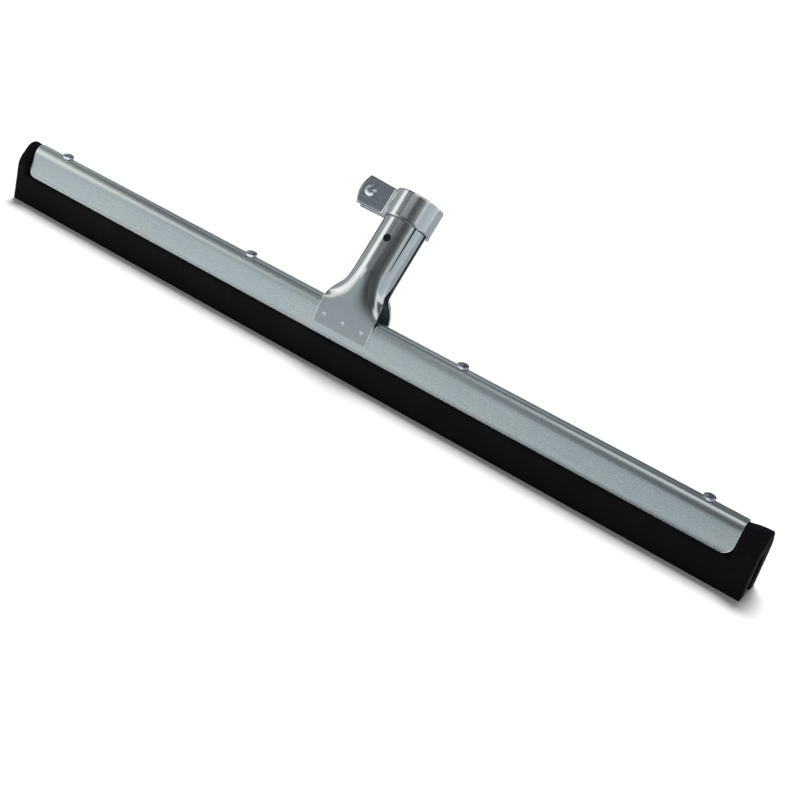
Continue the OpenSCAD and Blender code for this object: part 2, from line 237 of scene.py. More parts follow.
class SurfaceGroups:
    """The surface effects that several finishes share."""

    def __init__(self) -> None:
        """Builds every group once."""
        self.zinc = self._zinc()
        self.rubber = self._rubber()
        self.weld_marks = self._weld_marks()

    @staticmethod
    def _start(name: str, inputs: Sequence[Named],
               outputs: Sequence[Named]) -> Tuple[Wiring, bpy.types.NodeOutputs, bpy.types.NodeSocket]:
        """Makes a group with its sockets.

        Args:
            name: The group's name.
            inputs: Pairs of input name and socket kind.
            outputs: Pairs of output name and socket kind.

        Returns:
            The group's wiring, the values given to it and the place on the piece.
        """
        group = bpy.data.node_groups.new(name, "ShaderNodeTree")
        for way, sockets in (("INPUT", inputs), ("OUTPUT", outputs)):
            for label, kind in sockets:
                group.interface.new_socket(label, in_out=way, socket_type="NodeSocket" + kind)
        wires = Wiring(group)
        return wires, wires.node("GroupInput").outputs, wires.node("TexCoord").outputs["Object"]

    def _zinc(self) -> bpy.types.NodeTree:
        """Zinc plating on rolled sheet: passivation tints, mottling, rolling streaks and fine scuffs."""
        wires, given, place = self._start(
            "zinc_plating",
            [("Colour", "Color"), ("Tint", "Color"), ("Tint Amount", "Float"), ("Roughness", "Float"),
             ("Stretch", "Vector"), ("Turn", "Vector")],
            [("Colour", "Color"), ("Roughness", "Float"), ("Height", "Float")])
        mapping = wires.node("Mapping", Vector=place, Rotation=given["Turn"], Scale=given["Stretch"])
        rolled = mapping.outputs[0]
        streak = wires.noise(rolled, scale=1.0, detail=5.0, roughness=0.65)
        cloud = wires.noise(place, scale=26.0, detail=3.0, roughness=0.55)
        mottle = wires.noise(place, scale=620.0, detail=4.0, roughness=0.6)
        ripple = wires.noise(place, scale=70.0, detail=1.0)
        grain = wires.noise(rolled, scale=0.7, detail=1.0)
        cells = wires.node("TexVoronoi", {"feature": "DISTANCE_TO_EDGE"}, Vector=rolled, Scale=0.35)
        scuff = cells.outputs[0]
        tinted = wires.math("MULTIPLY", wires.spread(cloud, (0.42, 0.66), (0.0, 1.0)), given["Tint Amount"])
        colour = wires.blend("MIX", tinted, given["Colour"], given["Tint"])
        shade = wires.math("ADD", wires.vary(streak, 0.985, 1.015), wires.vary(mottle, -0.01, 0.01))
        level = wires.math("ADD", shade, wires.spread(scuff, (0.0, 0.012), (0.02, 0.0)))
        rough = wires.math("ADD", given["Roughness"], wires.vary(streak, -0.015, 0.015))
        rough = wires.math("ADD", rough, wires.vary(mottle, -0.01, 0.01))
        height = wires.math("ADD", wires.math("MULTIPLY", ripple, 3.0), wires.math("MULTIPLY", grain, 0.25))
        wires.node("GroupOutput", Colour=wires.dim(colour, level), Roughness=rough, Height=height)
        return wires.tree

    def _rubber(self) -> bpy.types.NodeTree:
        """Moulded cellular rubber: fine skin, open pores and a faint pale bloom."""
        wires, given, place = self._start(
            "cellular_rubber",
            [("Colour", "Color"), ("Bloom", "Color"), ("Bloom Amount", "Float"), ("Roughness", "Float")],
            [("Colour", "Color"), ("Roughness", "Float"), ("Height", "Float")])
        cloud = wires.noise(place, scale=45.0, detail=4.0, roughness=0.6)
        skin = wires.noise(place, scale=1500.0, detail=3.0, roughness=0.6)
        pores = wires.node("TexVoronoi", {"feature": "F1"}, Vector=place, Scale=900.0).outputs[0]
        pit = wires.spread(pores, (0.05, 0.3), (0.0, 1.0))
        bloom = wires.math("MULTIPLY", wires.spread(cloud, (0.45, 0.75), (0.0, 1.0)), given["Bloom Amount"])
        colour = wires.blend("MIX", bloom, given["Colour"], given["Bloom"])
        level = wires.math("ADD", wires.spread(pit, (0.0, 1.0), (0.75, 0.95)), wires.vary(skin, -0.08, 0.12))
        rough = wires.math("ADD", given["Roughness"], wires.vary(skin, -0.08, 0.08))
        height = wires.math("ADD", wires.math("MULTIPLY", skin, 0.5), wires.math("MULTIPLY", pit, 0.5))
        wires.node("GroupOutput", Colour=wires.dim(colour, level), Roughness=rough, Height=height)
        return wires.tree

    def _weld_marks(self) -> bpy.types.NodeTree:
        """A row of three round spot-weld marks."""
        wires, given, place = self._start(
            "weld_marks", [("Middle", "Vector"), ("Pitch", "Vector"), ("Radius", "Float")],
            [("Mask", "Float"), ("Dimple", "Float")])
        grain = wires.noise(place, scale=900.0, detail=3.0)
        middles = [wires.vectors(way, given["Middle"], given["Pitch"]).outputs[0]
                   for way in ("ADD", "SUBTRACT")]
        nearest: object = 1.0
        for middle in middles + [given["Middle"]]:
            distance = wires.vectors("DISTANCE", place, middle).outputs["Value"]
            nearest = wires.math("MINIMUM", nearest, distance)
        share = wires.math("DIVIDE", nearest, given["Radius"])
        ragged = wires.math("ADD", share, wires.vary(grain, -0.3, 0.3))
        wires.node("GroupOutput", Mask=wires.spread(ragged, (0.55, 1.1), (1.0, 0.0)),
                   Dimple=wires.spread(share, (0.3, 1.0), (0.0, 1.0)))
        return wires.tree


# Finishes


@dataclass(frozen=True)
class ZincFinish:
    """Zinc-plated sheet steel."""

    name: str
    slot: str
    colour: Colour
    tint: Colour
    roughness: float
    stretch: Triple
    tint_amount: float = 0.4
    turn_degrees: float = 0.0
    bump: float = 0.25
    bump_height: float = 0.02
    weld_middle: Triple = (0.0, 0.0, 0.0)
    weld_pitch: float = 0.0
    weld_radius: float = 1.9
    weld_brightening: float = 1.22
    weld_plate_bump: float = 0.5

    def material(self, groups: SurfaceGroups) -> bpy.types.Material:
        """Builds the material.

        Args:
            groups: The shared surface effects.

        Returns:
            The finished material.
        """
        made, wires = blank(self.name)
        turn = (math.radians(self.turn_degrees), 0.0, 0.0)
        zinc = wires.node("Group", {"node_tree": groups.zinc}, Colour=opaque(self.colour),
                          Tint=opaque(self.tint), Tint_Amount=self.tint_amount, Roughness=self.roughness,
                          Stretch=self.stretch, Turn=turn)
        colour = zinc.outputs["Colour"]
        height = zinc.outputs["Height"]
        shader = wires.node("BsdfPrincipled", Roughness=zinc.outputs["Roughness"], Metallic=1.0)
        if self.weld_pitch:
            marks = wires.node("Group", {"node_tree": groups.weld_marks},
                               Middle=tuple(v * MM for v in self.weld_middle),
                               Pitch=(self.weld_pitch * MM, 0.0, 0.0), Radius=self.weld_radius * MM)
            pale = opaque(tuple(min(1.0, c * self.weld_brightening) for c in self.colour))
            colour = wires.blend("MIX", marks.outputs["Mask"], colour, pale)
            plate = wires.math("MULTIPLY", height, self.weld_plate_bump)
            height = wires.math("ADD", plate, marks.outputs["Dimple"])
        bump = wires.node("Bump", Strength=self.bump, Distance=self.bump_height * MM, Height=height)
        wires.feed(shader.inputs["Base Color"], colour)
        wires.feed(shader.inputs["Normal"], bump.outputs[0])
        wires.node("OutputMaterial", Surface=shader.outputs[0])
        return made


@dataclass(frozen=True)
class RubberFinish:
    """Black cellular rubber."""

    name: str
    slot: str
    colour: Colour
    bloom: Colour
    bloom_amount: float
    roughness: float
    bump: float = 0.35
    bump_height: float = 0.2
    sheen: float = 0.07

    def material(self, groups: SurfaceGroups) -> bpy.types.Material:
        """Builds the material.

        Args:
            groups: The shared surface effects.

        Returns:
            The finished material.
        """
        made, wires = blank(self.name)
        rubber = wires.node("Group", {"node_tree": groups.rubber}, Colour=opaque(self.colour),
                            Bloom=opaque(self.bloom), Bloom_Amount=self.bloom_amount,
                            Roughness=self.roughness)
        bump = wires.node("Bump", Strength=self.bump, Distance=self.bump_height * MM,
                          Height=rubber.outputs["Height"])
        shader = wires.node("BsdfPrincipled", Base_Color=rubber.outputs["Colour"],
                            Roughness=rubber.outputs["Roughness"], Normal=bump.outputs[0])
        shader.inputs["Specular IOR Level"].default_value = self.sheen
        wires.node("OutputMaterial", Surface=shader.outputs[0])
        return made


Finish = Union[ZincFinish, RubberFinish]

# Mesh making

HEAD_EDGE = 0.15


class Workshop:
    """Makes meshes in millimetres, finishes them and puts them into the frame."""

    def __init__(self, groups: SurfaceGroups) -> None:
        """Starts with no materials made.

        Args:
            groups: The shared surface effects.
        """
        self.groups = groups
        self.materials: Dict[str, bpy.types.Material] = {}

    def material(self, finish: Finish) -> bpy.types.Material:
        """The material of a finish, built once."""
        if finish.name not in self.materials:
            self.materials[finish.name] = finish.material(self.groups)
        return self.materials[finish.name]

    @staticmethod
    def surface(columns: int, rows: int, place: Callable[[int, int], Vector]) -> bmesh.types.BMesh:
        """Bends a flat grid into a surface.

        Args:
            columns: Count of faces across.
            rows: Count of faces down.
            place: Gives the point for a column and a row.

        Returns:
            The open surface.
        """
        bm = bmesh.new()
        bmesh.ops.create_grid(bm, x_segments=columns, y_segments=rows, size=0.5)
        for vert in bm.verts:
            vert.co = place(round((vert.co.x + 0.5) * columns), round((vert.co.y + 0.5) * rows))
        bm.normal_update()
        return bm

    @staticmethod
    def face_towards(bm: bmesh.types.BMesh, point: Vector) -> None:
        """Turns an open surface round if its middle faces away from a point."""
        bm.faces.ensure_lookup_table()
        middle = bm.faces[len(bm.faces) // 2]
        if middle.normal.dot(point - middle.calc_center_median()) < 0:
            bmesh.ops.reverse_faces(bm, faces=bm.faces)

    @staticmethod
    def turned(profile: Sequence[Pair], steps: int = 64) -> bmesh.types.BMesh:
        """Spins a profile about the Z axis.

        Args:
            profile: Pairs of radius and height, from the axis round to the axis.
            steps: Count of faces round the axis.

        Returns:
            The closed solid.
        """
        bm = bmesh.new()
        verts = [bm.verts.new((radius, 0.0, height)) for radius, height in profile]
        edges = [bm.edges.new(pair) for pair in zip(verts, verts[1:])]
        bmesh.ops.spin(bm, geom=verts + edges, axis=(0, 0, 1), cent=(0, 0, 0), angle=FULL_TURN, steps=steps,
                       use_merge=True)
        bmesh.ops.remove_doubles(bm, verts=bm.verts, dist=MERGE)
        bmesh.ops.recalc_face_normals(bm, faces=bm.faces)
        return bm

    @staticmethod
    def dome(diameter: float, rim: float, height: float, steps: int = 14) -> List[Pair]:
        """Profile of a round head from its top to the foot of its rim.

        Args:
            diameter: The head's diameter.
            rim: Height of the upright rim.
            height: Height of the whole head.
            steps: Count of points along the dome.

        Returns:
            Pairs of radius and height.
        """
        half = diameter / 2
        rise = height - rim
        ball = (half * half + rise * rise) / (2 * rise)
        widest = math.asin(min(1.0, half / ball))
        crown = [(ball * math.sin(a), height - ball + ball * math.cos(a))
                 for a in evenly(0.0, widest, steps)]
        return crown[:-1] + [(half, rim - HEAD_EDGE / 2), (half, HEAD_EDGE), (half - HEAD_EDGE, 0.0)]

    def piece(self, name: str, bm: bmesh.types.BMesh, finish: Finish, body: Body,
              nodes: Sequence[str]) -> bpy.types.Object:
        """Makes a mesh a piece of the object.

        Args:
            name: The piece's name.
            bm: Its mesh in millimetres, used up here.
            finish: Its finish.
            body: The body it rides on.
            nodes: The CAD nodes that it stands for.

        Returns:
            The new piece.
        """
        made = self.loose(name, bm)
        made.data.materials.append(self.material(finish))
        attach(made, body.value)
        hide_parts(*nodes)
        return made

    @staticmethod
    def loose(name: str, bm: bmesh.types.BMesh) -> bpy.types.Object:
        """Makes an object in metres from a mesh in millimetres, which is used up."""
        bmesh.ops.scale(bm, vec=(MM, MM, MM), verts=bm.verts)
        return put_mesh(name, bm)

    @staticmethod
    def bake(piece: bpy.types.Object) -> None:
        """Applies a piece's modifiers to its mesh."""
        bpy.context.view_layer.update()
        shown = piece.evaluated_get(bpy.context.evaluated_depsgraph_get())
        mesh = bpy.data.meshes.new_from_object(shown)
        old = piece.data
        piece.modifiers.clear()
        piece.data = mesh
        bpy.data.meshes.remove(old)
        mesh.name = piece.name

    def thicken(self, piece: bpy.types.Object, sheet: float, side: float) -> None:
        """Gives an open surface the thickness of its sheet.

        Args:
            piece: The surface.
            sheet: Thickness in millimetres.
            side: -1 to grow behind the surface, 0 to grow both ways.
        """
        wall = piece.modifiers.new("sheet", "SOLIDIFY")
        wall.thickness = sheet * MM
        wall.offset = side
        wall.use_even_offset = True
        wall.material_offset = min(1, len(piece.data.materials) - 1)
        self.bake(piece)

    def cut(self, piece: bpy.types.Object, cutters: Iterable[bmesh.types.BMesh],
            operation: str = "DIFFERENCE", finish_index: int = 0) -> None:
        """Cuts a piece with other solids.

        Args:
            piece: The piece to cut.
            cutters: Solids in millimetres, used up here.
            operation: DIFFERENCE, or INTERSECT to keep what is inside.
            finish_index: Which of the piece's finishes the cut faces take.
        """
        tools = [self.loose("cutter", cutter) for cutter in cutters]
        for tool in tools:
            tool.data.polygons.foreach_set("material_index", [finish_index] * len(tool.data.polygons))
            step = piece.modifiers.new("cut", "BOOLEAN")
            step.operation = operation
            step.solver = "EXACT"
            step.object = tool
        self.bake(piece)
        for tool in tools:
            mesh = tool.data
            bpy.data.objects.remove(tool)
            bpy.data.meshes.remove(mesh)

    def refinish(self, piece: bpy.types.Object, finish: Finish,
                 chosen: Callable[[bpy.types.MeshPolygon], bool]) -> None:
        """Gives some of a piece's faces another finish.

        Args:
            piece: The piece.
            finish: The other finish, which the piece may have already.
            chosen: Tells whether a face takes it.
        """
        material = self.material(finish)
        index = piece.data.materials.find(material.name)
        if index < 0:
            index = len(piece.data.materials)
            piece.data.materials.append(material)
        for face in piece.data.polygons:
            if chosen(face):
                face.material_index = index

    @staticmethod
    def mark_edges(piece: bpy.types.Object, limit: float, above: float) -> None:
        """Marks the sharp edges that are to be rounded.

        Args:
            piece: The piece.
            limit: Smallest angle of an edge that counts as sharp, in degrees.
            above: Height in millimetres that an edge has to reach.
        """
        bm = bmesh.new()
        bm.from_mesh(piece.data)
        weight = bm.edges.layers.float.new("bevel_weight_edge")
        for edge in bm.edges:
            sharp = edge.is_manifold and edge.calc_face_angle() > math.radians(limit)
            edge[weight] = float(sharp and max(vert.co.z for vert in edge.verts) > above * MM)
        bm.to_mesh(piece.data)
        bm.free()

    def soften(self, piece: bpy.types.Object, width: float, limit: float = 40.0, segments: int = 2,
               above: float = 0.0) -> None:
        """Rounds a piece's sharp edges and smooths its shading.

        Args:
            piece: The piece.
            width: Width of the rounding in millimetres, or 0 for none.
            limit: Smallest angle of an edge that counts as sharp, in degrees.
            segments: Count of faces across the rounding.
            above: Height in millimetres below which edges stay sharp, or 0 to round them all.
        """
        if width:
            round_over = piece.modifiers.new("edges", "BEVEL")
            round_over.width = width * MM
            round_over.segments = segments
            round_over.limit_method = "WEIGHT" if above else "ANGLE"
            round_over.angle_limit = math.radians(limit)
            if above:
                self.mark_edges(piece, limit, above)
            self.bake(piece)
        mesh = piece.data
        mesh.polygons.foreach_set("use_smooth", [True] * len(mesh.polygons))
        mesh.set_sharp_from_angle(angle=math.radians(limit))
        mesh.update()
        LOG.info("%s: %d faces", piece.name, len(mesh.polygons))


# Sizes that several sub-assemblies share


@dataclass(frozen=True)
class Layout:
    """The squeegee's shared sizes, in millimetres and degrees."""

    channel_length: float = 528.0
    channel_x: float = -3.0
    ridge_radius: float = 6.0
    side_lean: float = 16.0
    side_height: float = 16.2
    blade_drop: float = 20.0
    socket_tilt: float = 35.0
    frame_y: float = 24.0698

    @property
    def lean(self) -> Pair:
        """Sine and cosine of a side's lean."""
        return math.sin(math.radians(self.side_lean)), math.cos(math.radians(self.side_lean))

    @property
    def ridge_z(self) -> float:
        """Height of the ridge's centre."""
        sine, cosine = self.lean
        return self.blade_drop + self.side_height * cosine - self.ridge_radius * sine

    @property
    def foot_half(self) -> float:
        """Half of the channel's width at its lower edge."""
        sine, cosine = self.lean
        return self.ridge_radius * cosine + self.side_height * sine

    def point(self, x: float, y: float, z: float) -> Vector:
        """A point given from the blade's middle plane."""
        return Vector((x, y - self.frame_y, z))

    def side_point(self, facing: Facing, x: float, up: float, out: float) -> Vector:
        """A point on a side of the channel.

        Args:
            facing: Front or rear side.
            x: Distance from the channel's middle.
            up: Distance up the sheet from its lower edge.
            out: Distance off the sheet's outer face.

        Returns:
            The point in the frame, in millimetres.
        """
        sine, cosine = self.lean
        return self.point(self.channel_x + x, facing.value * (-self.foot_half + up * sine - out * cosine),
                          self.blade_drop + up * cosine + out * sine)

    @property
    def socket(self) -> Matrix:
        """The socket's axes in the frame: Z along its bore to the mouth, -Y to the front."""
        return (Matrix.Translation(self.point(self.channel_x, 0.0, self.ridge_z))
                @ Matrix.Rotation(math.radians(-self.socket_tilt), 4, "X"))


LAYOUT = Layout()

# The grain runs along the blade on the channel, and along the bore on the socket
ALONG_BLADE = (14.0, 900.0, 900.0)
ALONG_BORE = (900.0, 900.0, 14.0)
NO_GRAIN = (400.0, 400.0, 400.0)

SHELL_COLOUR = (0.63, 0.655, 0.665)
SHELL_TINT = (0.66, 0.66, 0.62)
# Near-white colour for bare sheared edges: bare steel, lightened into a painted highlight line
EDGE_HIGHLIGHT_COLOUR = (0.92, 0.94, 0.95)
EDGE_HIGHLIGHT_TINT = (0.90, 0.92, 0.93)

CHANNEL_ZINC = ZincFinish("channel_zinc_finish", "channel_zinc", (0.665, 0.72, 0.735), (0.735, 0.75, 0.68),
                          roughness=0.26, stretch=ALONG_BLADE, bump=0.012)
# Painted highlight: the channel's right-end edge faces, coloured near white
CHANNEL_EDGE_HIGHLIGHT = ZincFinish("channel_edge_highlight_finish", "channel_zinc", EDGE_HIGHLIGHT_COLOUR, EDGE_HIGHLIGHT_TINT,
                          roughness=0.60, stretch=NO_GRAIN)
STRIP_STEEL = ZincFinish("strip_steel_finish", "strip_steel", (0.58, 0.60, 0.60), (0.55, 0.53, 0.48),
                         roughness=0.42, stretch=ALONG_BLADE)
RIVET_STEEL = ZincFinish("rivet_steel_finish", "rivet_steel", (0.44, 0.46, 0.53), (0.50, 0.51, 0.54),
                         roughness=0.24, stretch=NO_GRAIN, tint_amount=0.5)
CLAMP_ZINC = ZincFinish("clamp_zinc_finish", "clamp_zinc", (0.67, 0.70, 0.71), (0.71, 0.70, 0.63),
                        roughness=0.17, stretch=ALONG_BLADE)
# Painted shade: a dark finish on the strap's edge faces that look down the bore
CLAMP_EDGE_SHADE = ZincFinish("clamp_edge_shade_finish", "clamp_zinc", (0.22, 0.26, 0.28), (0.24, 0.26, 0.26),
                        roughness=0.40, stretch=NO_GRAIN)
FASTENER_ZINC = ZincFinish("fastener_zinc_finish", "fastener_zinc", (0.68, 0.70, 0.72), (0.66, 0.66, 0.62),
                           roughness=0.28, stretch=NO_GRAIN)
# Painted shade: a dark finish for the socket's inner faces, seam edges, slit walls and hole wall
SOCKET_INSIDE_SHADE = ZincFinish("socket_inside_shade_finish", "socket_zinc", (0.17, 0.22, 0.25), (0.19, 0.21, 0.20),
                           roughness=0.50, stretch=NO_GRAIN)
# Painted highlight: the plates' sheared side edges, coloured near white
SHEARED_EDGE_HIGHLIGHT = ZincFinish("sheared_edge_highlight_finish", "socket_zinc", EDGE_HIGHLIGHT_COLOUR, EDGE_HIGHLIGHT_TINT,
                          roughness=0.60, stretch=NO_GRAIN)
BLADE_RUBBER = RubberFinish("blade_rubber_finish", "blade_rubber", (0.0040, 0.0040, 0.0058),
                            (0.009, 0.009, 0.011), bloom_amount=0.5, roughness=0.68)


# Sub-assemblies


@dataclass
class Channel:
    """The roof-shaped steel channel."""

    sheet: float = 1.0
    corner: float = 6.5
    crown_radius: float = 5.0
    edge_curl: float = 0.13
    edge_roll: float = 1.8
    corner_steps: int = 10
    flat_steps: int = 4
    ridge_steps: int = 24
    rows: int = 12
    end_rows: Tuple[float, ...] = (0.0, 0.8, 1.6, 4.0)
    inner_share: float = 0.9
    edge: float = 0.45
    rim_turn: float = 0.3

    def profile(self) -> List[Triple]:
        """The outer face from the front lower edge over the ridge to the rear one.

        Returns:
            Triples of depth, height and distance up from the nearer lower edge.
        """
        ups = [self.corner * (1 - math.cos(angle)) for angle in arc(0.0, 90.0, self.corner_steps)]
        ups += evenly(self.corner, self.flat_height, self.flat_steps)[1:]
        sine, cosine = LAYOUT.lean
        half_profile = []
        for up in ups:
            curl = self.edge_curl * max(0.0, 1 - up / self.edge_roll) ** 2
            half_profile.append((-LAYOUT.foot_half + up * sine - curl * cosine,
                                 LAYOUT.blade_drop + up * cosine + curl * sine, up))
        crown_z = LAYOUT.ridge_z + LAYOUT.ridge_radius - self.crown_radius
        for angle in arc(LAYOUT.side_lean, 90.0, self.ridge_steps)[1:]:
            on_shoulder = angle < math.pi / 4
            radius = self.shoulder_radius if on_shoulder else self.crown_radius
            shift = self.shoulder_shift if on_shoulder else 0.0
            half_profile.append((shift - radius * math.cos(angle),
                                 crown_z - shift + radius * math.sin(angle), self.flat_height))
        return half_profile + [(-y, z, up) for y, z, up in reversed(half_profile[:-1])]

    @property
    def shoulder_radius(self) -> float:
        """Radius of the bend below the crown, which meets the side's flat face smoothly."""
        cosine = math.cos(math.radians(45.0 - LAYOUT.side_lean))
        sine, _ = LAYOUT.lean
        reach = LAYOUT.ridge_radius - (LAYOUT.ridge_radius - self.crown_radius) * sine
        return (reach - self.crown_radius * cosine) / (1 - cosine)

    @property
    def shoulder_shift(self) -> float:
        """How far back and down the shoulder's centre lies from the crown's."""
        return (self.shoulder_radius - self.crown_radius) * math.sqrt(0.5)

    @property
    def flat_height(self) -> float:
        """Height of the side's flat face, up the sheet."""
        sine, cosine = LAYOUT.lean
        crown_z = LAYOUT.ridge_z + LAYOUT.ridge_radius - self.crown_radius
        low = crown_z - self.shoulder_shift + self.shoulder_radius * sine
        return (low - LAYOUT.blade_drop) / cosine

    def build(self, shop: Workshop) -> None:
        """Makes the channel."""
        profile = self.profile()
        half = LAYOUT.channel_length / 2
        near_end = [1 - inset / half for inset in self.end_rows]
        shares = [-share for share in near_end] + evenly(-self.inner_share, self.inner_share, self.rows)
        shares += list(reversed(near_end))

        def place(column: int, row: int) -> Vector:
            """A point of the sheet, with its lower corners rounded."""
            y, z, up = profile[column]
            short = max(0.0, self.corner - up)
            pull_in = self.corner - math.sqrt(self.corner ** 2 - short ** 2)
            return LAYOUT.point(LAYOUT.channel_x + shares[row] * (half - pull_in), y, z)

        bm = shop.surface(len(profile) - 1, len(shares) - 1, place)
        shop.face_towards(bm, LAYOUT.point(LAYOUT.channel_x, 0.0, FAR))
        piece = shop.piece("channel_sheet", bm, CHANNEL_ZINC, Body.HEAD, ["channel"])
        shop.thicken(piece, self.sheet, -1.0)
        shop.soften(piece, self.edge)
        # Only faces turned to the right, at the channel's right end, take the near-white painted highlight
        shop.refinish(piece, CHANNEL_EDGE_HIGHLIGHT, lambda face: face.normal.x > self.rim_turn)


@dataclass
class RubberBlade:
    """The double-lip rubber moulding."""

    length: float = 550.0
    thickness: float = 24.0
    lip: float = 8.0
    swell: float = 2.5
    gap_depth: float = 25.0
    end_thickness: float = 24.2
    end_wall: float = 22.0
    end_radius: float = 7.0
    end_turn: float = 13.0
    end_lean: float = 38.0
    end_sink: float = 1.5
    end_rises: Pair = (1.0, 1.6)
    end_round: float = 0.7
    end_round_share: float = 0.9
    release_rows: Tuple[float, ...] = (0.05, 0.4, 0.8, 1.2, 1.6)
    channel_sheet: float = 1.0
    clearance: float = 0.1
    crown_inset: float = 0.4
    lip_steps: int = 4
    side_steps: int = 6
    turn_steps: int = 5
    crown_steps: int = 8
    gap_steps: int = 3
    end_steps: int = 3
    grip_steps: int = 20
    edge: float = 0.5
    edge_limit: float = 50.0

    @property
    def swell_z(self) -> float:
        """Height of the centre of the swell below the channel."""
        return LAYOUT.blade_drop - self.swell - self.clearance

    def lip_face(self) -> List[Pair]:
        """The upright outer face of the front lip, as pairs of depth and height from the floor up."""
        return [(-self.thickness / 2, z) for z in evenly(0.0, self.swell_z, self.lip_steps)[:-1]]

    def gripped(self) -> List[Pair]:
        """The front half of the outer section where the channel grips the rubber.

        Returns:
            Pairs of depth and height, from the floor to the top.
        """
        sine, cosine = LAYOUT.lean
        wall = self.thickness / 2 - self.swell
        inner = LAYOUT.ridge_radius - self.channel_sheet - self.clearance
        top_z = LAYOUT.ridge_z + inner * sine
        top_half = inner * cosine
        low_z = LAYOUT.blade_drop - self.clearance
        low_half = top_half + (top_z - low_z) * sine / cosine
        points = self.lip_face()
        points += [(-wall - self.swell * math.cos(a), self.swell_z + self.swell * math.sin(a))
                   for a in arc(0.0, 90.0, self.side_steps)]
        points += [(-mix(low_half, top_half, share), mix(low_z, top_z, share))
                   for share in evenly(0.0, 1.0, self.side_steps)]
        for share in evenly(0.0, 1.0, self.crown_steps)[1:]:
            angle = math.radians(mix(LAYOUT.side_lean, 90.0, share))
            radius = inner - self.crown_inset * math.sin(math.pi * share)
            points.append((-radius * math.cos(angle), LAYOUT.ridge_z + radius * math.sin(angle)))
        return points

    def standing(self, rise: float) -> List[Pair]:
        """The front half of the outer section where the rubber stands free.

        Args:
            rise: How far it stands up beyond its usual height.

        Returns:
            Pairs of depth and height, from the floor to the top.
        """
        lean = math.radians(self.end_lean)
        half = self.thickness / 2
        end_half = self.end_thickness / 2
        crest = LAYOUT.ridge_z + LAYOUT.ridge_radius - self.end_sink + rise
        back_z = crest - self.end_radius
        slope_run = end_half - self.end_radius * math.cos(lean)
        shoulder_low = back_z + self.end_radius * math.sin(lean) - slope_run / math.tan(lean)
        turn_z = shoulder_low - self.end_turn * math.tan(lean / 2)
        turn_half = end_half - self.end_turn
        points = self.lip_face()
        points += [(-mix(half, end_half, ease(share)), mix(self.swell_z, self.end_wall, share))
                   for share in evenly(0.0, 1.0, self.side_steps)]
        points += [(-turn_half - self.end_turn * math.cos(a), turn_z + self.end_turn * math.sin(a))
                   for a in arc(0.0, self.end_lean, self.turn_steps)]
        points += [(-self.end_radius * math.cos(a), back_z + self.end_radius * math.sin(a))
                   for a in arc(self.end_lean, 90.0, self.crown_steps)]
        return points

    def section(self, free: float, rise: float) -> List[Pair]:
        """The whole closed section, with the gap between the lips; its last point is its first.

        Args:
            free: 0 where the channel grips the rubber, 1 where it stands free.
            rise: How far a free end stands up beyond its usual height.

        Returns:
            Pairs of depth and height.
        """
        halves = zip(self.gripped(), self.standing(rise))
        front = [(mix(a[0], b[0], free), mix(a[1], b[1], free)) for a, b in halves]
        rear = [(-y, z) for y, z in reversed(front[:-1])]
        inner = self.thickness / 2 - self.lip
        heights = evenly(0.0, self.gap_depth, self.gap_steps)
        gap = [(inner, z) for z in heights] + [(-inner, z) for z in reversed(heights)]
        return front + rear + gap + front[:1]

    def free_end(self, metal: float, end: float, top: float) -> List[Triple]:
        """Places along a free end, from the channel outwards.

        Args:
            metal: Where the channel ends.
            end: Where the rubber ends.
            top: How far the rubber stands up there beyond its usual height.

        Returns:
            Triples of place, how free the rubber is there and how far it stands up.
        """
        way = math.copysign(1.0, end - metal)
        release = self.release_rows[-1]
        run = [(metal + way * d, ease(d / release), 0.0) for d in self.release_rows]
        flat = abs(end - metal) - self.end_round
        rest = evenly(release, flat, self.end_steps)[1:]
        rest += [flat + self.end_round * math.sin(a) for a in arc(0.0, 90.0, self.end_steps)[1:]]
        for d in rest:
            past = max(0.0, d - flat) / self.end_round
            drop = self.end_round * (1 - math.sqrt(max(0.0, 1 - self.end_round_share * past ** 2)))
            run.append((metal + way * d, 1.0, top * math.sin(math.pi / 2 * min(1.0, d / flat)) - drop))
        return run

    def stations(self) -> List[Triple]:
        """Places along the whole blade, as triples like those of a free end."""
        left = LAYOUT.channel_x - LAYOUT.channel_length / 2
        right = LAYOUT.channel_x + LAYOUT.channel_length / 2
        left_rise, right_rise = self.end_rises
        left_end = self.free_end(left, -self.length / 2, left_rise)
        middle = [(x, 0.0, 0.0) for x in evenly(left, right, self.grip_steps)[1:-1]]
        return left_end[::-1] + middle + self.free_end(right, self.length / 2, right_rise)

    def build(self, shop: Workshop) -> None:
        """Makes the blade."""
        stations = self.stations()
        sections = [self.section(free, rise) for _, free, rise in stations]

        def place(column: int, row: int) -> Vector:
            """A point of the rubber's skin."""
            y, z = sections[row][column]
            return LAYOUT.point(stations[row][0], y, z)

        bm = shop.surface(len(sections[0]) - 1, len(stations) - 1, place)
        bmesh.ops.remove_doubles(bm, verts=bm.verts, dist=MERGE)
        bmesh.ops.holes_fill(bm, edges=[e for e in bm.edges if e.is_boundary], sides=0)
        bmesh.ops.recalc_face_normals(bm, faces=bm.faces)
        piece = shop.piece("blade_moulding", bm, BLADE_RUBBER, Body.HEAD, ["rubber_blade"])
        shop.soften(piece, self.edge, limit=self.edge_limit)


